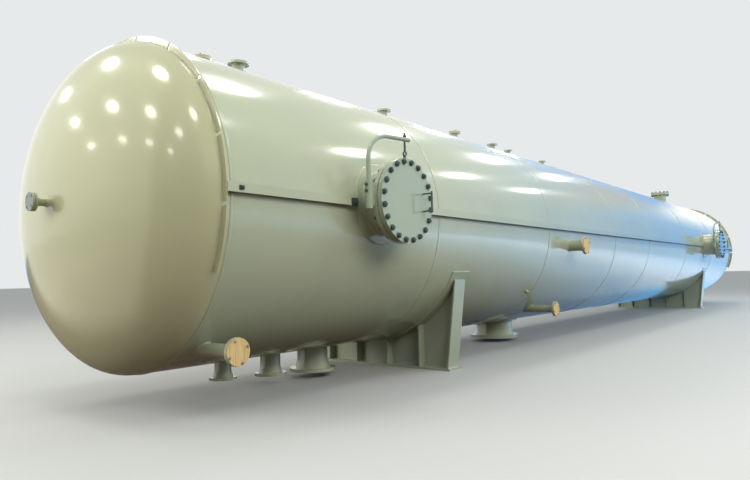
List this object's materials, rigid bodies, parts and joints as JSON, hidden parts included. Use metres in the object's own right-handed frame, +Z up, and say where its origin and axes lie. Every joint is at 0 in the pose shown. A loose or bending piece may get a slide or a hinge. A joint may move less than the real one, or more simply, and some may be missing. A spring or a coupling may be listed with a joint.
{
  "type": "horizontal pressure tank",
  "caption": "Long horizontal pressure tank with ellipsoidal heads on two saddles, with davit-hung side manways, flanged nozzles and insulation supports.",
  "frame": {"origin": "middle of the near saddle's base plate, on its underside at ground level", "axes": "+X along the tank to the far head, -Y towards the side with the manways, +Z up"},
  "size_m": [22.4616, 3.536, 3.6366],
  "materials": {
    "tank_paint": "gloss sage-beige two-pack paint",
    "saddle_paint": "gloss sage-beige paint",
    "bolt_steel": "dark coated steel",
    "plywood": "raw plywood"
  },
  "bodies": {
    "root": {"near_head": "tank_paint", "shell_course_1": "tank_paint", "shell_course_2": "tank_paint", "shell_course_3": "tank_paint", "shell_course_4": "tank_paint", "shell_course_5": "tank_paint", "shell_course_6": "tank_paint", "shell_course_7": "tank_paint", "far_head": "tank_paint", "near_saddle_base": "saddle_paint", "near_saddle_web": "saddle_paint", "near_saddle_ribs": "saddle_paint", "near_saddle_wear_plate": "saddle_paint", "far_saddle_base": "saddle_paint", "far_saddle_web": "saddle_paint", "far_saddle_ribs": "saddle_paint", "far_saddle_wear_plate": "saddle_paint", "insulation_rings": "tank_paint", "insulation_angles": "tank_paint", "near_manway_pad": "tank_paint", "near_manway_neck": "tank_paint", "near_manway_flange": "tank_paint", "near_davit_sleeve": "tank_paint", "far_manway_pad": "tank_paint", "far_manway_neck": "tank_paint", "far_manway_flange": "tank_paint", "far_davit_sleeve": "tank_paint", "top_hatch_pad": "tank_paint", "top_hatch_nozzle": "tank_paint", "top_hatch_cover": "tank_paint", "top_nozzles": "tank_paint", "bottom_nozzles": "tank_paint", "sump_pad": "tank_paint", "sump_nozzle": "tank_paint", "side_nozzle": "tank_paint", "low_nozzles": "tank_paint", "head_nozzle": "tank_paint", "coupling": "bolt_steel", "nozzle_covers": "plywood"},
    "near_cover": {"near_manway_cover": "tank_paint", "near_davit_arm": "tank_paint", "near_eyebolt": "bolt_steel"},
    "far_cover": {"far_manway_cover": "tank_paint", "far_davit_arm": "tank_paint", "far_eyebolt": "bolt_steel"}
  },
  "joints": [
    {"name": "near_davit_swing", "type": "hinge", "parent": "root", "child": "near_cover", "pos_m": [-2.14, -1.6866, 1.85], "axis": [0, 0, -1], "range_deg": [0, 120]},
    {"name": "far_davit_swing", "type": "hinge", "parent": "root", "child": "far_cover", "pos_m": [12.945, -1.7866, 1.85], "axis": [0, 0, -1], "range_deg": [0, 120]}
  ]
}
